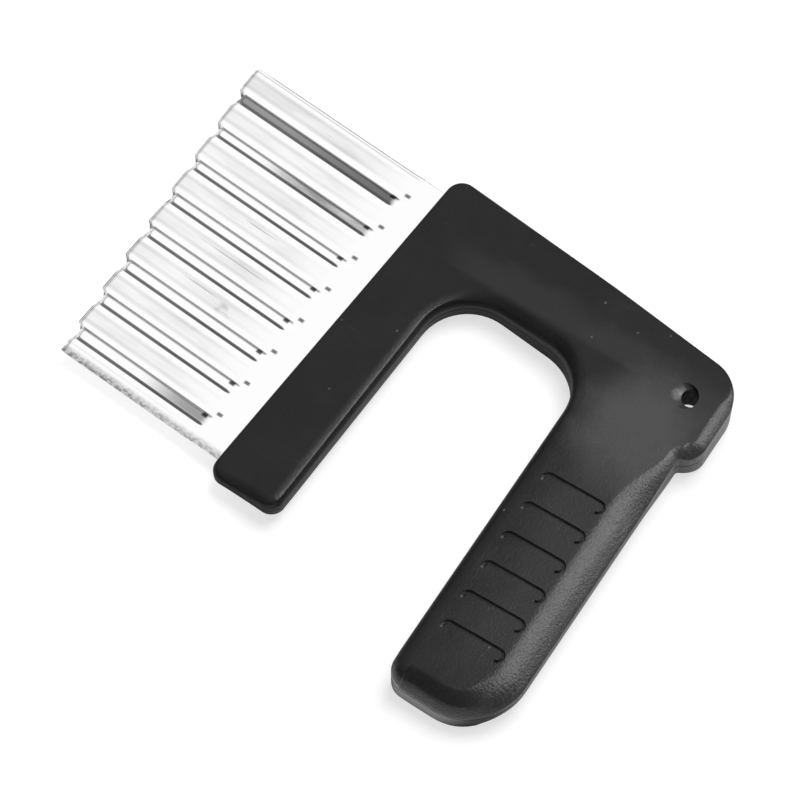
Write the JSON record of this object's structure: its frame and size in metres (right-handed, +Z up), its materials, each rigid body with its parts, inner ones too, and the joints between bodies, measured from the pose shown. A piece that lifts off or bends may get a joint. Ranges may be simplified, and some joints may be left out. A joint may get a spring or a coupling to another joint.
{
  "type": "crinkle cutter",
  "caption": "Hand-held crinkle cutter with a corrugated steel blade fixed in a U-shaped plastic handle that closes round the fingers.",
  "frame": {"origin": "middle of the grip's flat underside, between the grip marks", "axes": "+Z up out of the flat of the tool, +Y along the grip to the bridge, +X from the cutting edge to the palm side"},
  "size_m": [0.1366, 0.108, 0.0136],
  "materials": {
    "handle_plastic": "black moulded plastic with a fine matte texture",
    "blade_steel": "bright rolled stainless steel with fine lines along the ridges",
    "pin_steel": "plain drawn steel"
  },
  "bodies": {
    "root": {"handle_top_half": "handle_plastic", "handle_bottom_half": "handle_plastic", "blade": "blade_steel", "tang_pin_1": "pin_steel", "tang_pin_2": "pin_steel", "tang_pin_3": "pin_steel", "tang_pin_4": "pin_steel"}
  },
  "joints": []
}
